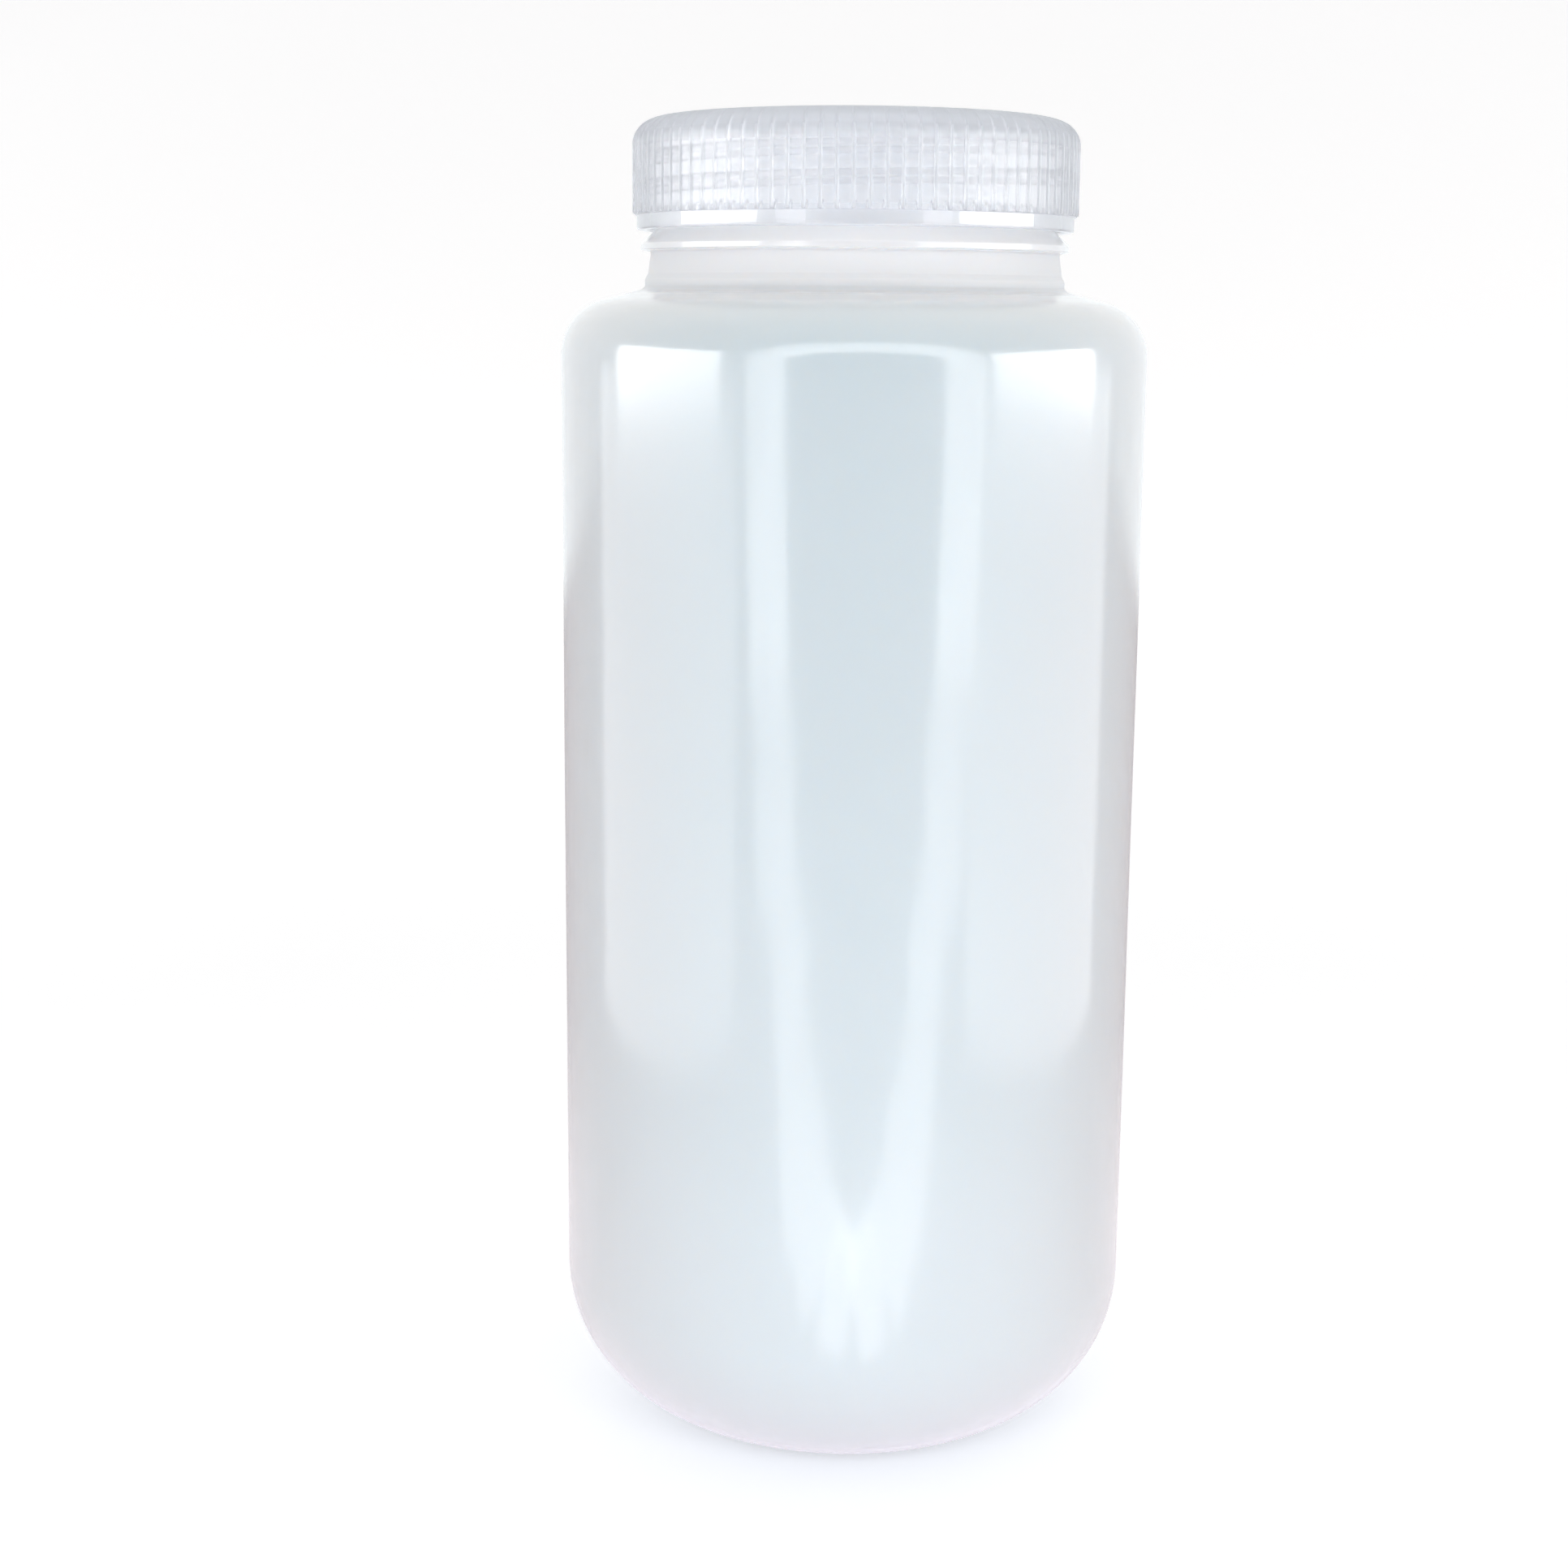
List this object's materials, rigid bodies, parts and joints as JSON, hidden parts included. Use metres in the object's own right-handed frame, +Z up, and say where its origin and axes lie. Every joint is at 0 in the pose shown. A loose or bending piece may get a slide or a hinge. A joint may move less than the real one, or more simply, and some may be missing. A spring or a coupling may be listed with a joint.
{
  "type": "wide-mouth reagent bottle",
  "caption": "Wide-mouth translucent plastic reagent bottle with a ribbed, see-through screw cap and a soft sealing disc under it.",
  "frame": {"origin": "centre of the ring the bottle stands on, at its lower face", "axes": "+Z up along the bottle's axis, -Y towards the front, +X to the right seen from the front; the mould's parting line is at +X and -X"},
  "size_m": [0.0912, 0.091, 0.2051],
  "materials": {
    "natural_polyethylene": "satin, milky translucent",
    "clear_polypropylene": "glossy, clear with a slight blue-grey haze",
    "white_foam": "matt, fine closed-cell foam"
  },
  "bodies": {
    "bottle": {"bottle": "natural_polyethylene"},
    "seal": {"sealing_disc": "white_foam"},
    "cap": {"screw_cap": "clear_polypropylene"}
  },
  "joints": [
    {"name": "cap_lift", "type": "slide", "parent": "bottle", "child": "seal", "axis": [0, 0, 1], "range_m": [0, 0.015]},
    {"name": "cap_turn", "type": "hinge", "parent": "seal", "child": "cap", "pos_m": [0, 0, 0.1968], "axis": [0, 0, 1], "range_deg": [0, 1260]}
  ],
  "couplings": [
    {"joint": "cap_lift", "follows": "cap_turn", "m_per_rad": 0.00067322}
  ]
}
